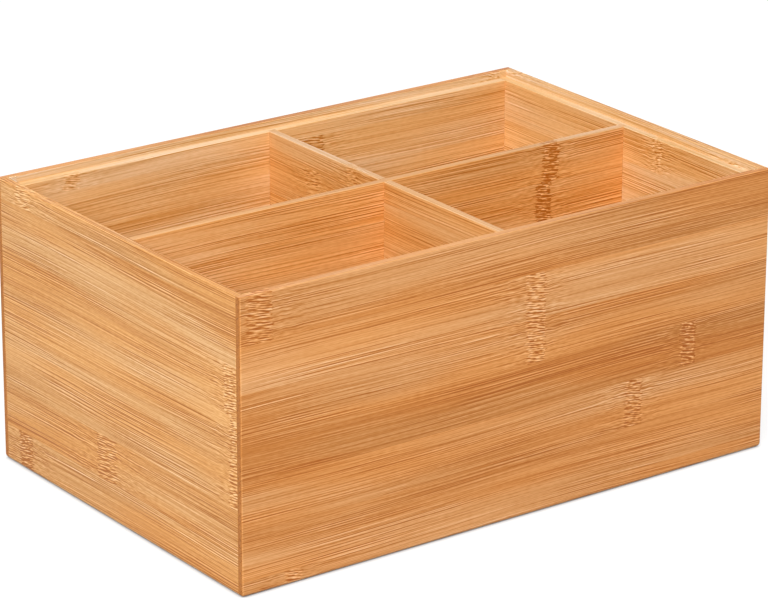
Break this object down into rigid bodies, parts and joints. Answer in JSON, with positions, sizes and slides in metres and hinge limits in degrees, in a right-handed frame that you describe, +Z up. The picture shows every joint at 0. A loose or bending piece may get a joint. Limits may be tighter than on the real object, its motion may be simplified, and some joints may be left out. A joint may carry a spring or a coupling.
{
  "type": "storage box",
  "caption": "Open-topped rectangular bamboo box with a stepped rim and two crossing dividers, for toiletries, make-up or desk items.",
  "frame": {"origin": "middle of the footprint, on the surface that the box stands on", "axes": "+X along the length, to the right seen from the front; +Y to the back; +Z up, out of the open top"},
  "size_m": [0.3, 0.2, 0.14],
  "materials": {
    "bamboo_boards": "satin clear lacquer over laminated bamboo, grain along each board",
    "bamboo_dividers": "satin clear lacquer over laminated bamboo, grain along each divider",
    "bamboo_panel": "satin clear lacquer over laminated bamboo, grain along the length"
  },
  "bodies": {
    "root": {"front_board": "bamboo_boards", "back_board": "bamboo_boards", "left_board": "bamboo_boards", "right_board": "bamboo_boards", "base_panel": "bamboo_panel", "lengthwise_divider": "bamboo_dividers", "crosswise_divider": "bamboo_dividers"}
  },
  "joints": []
}
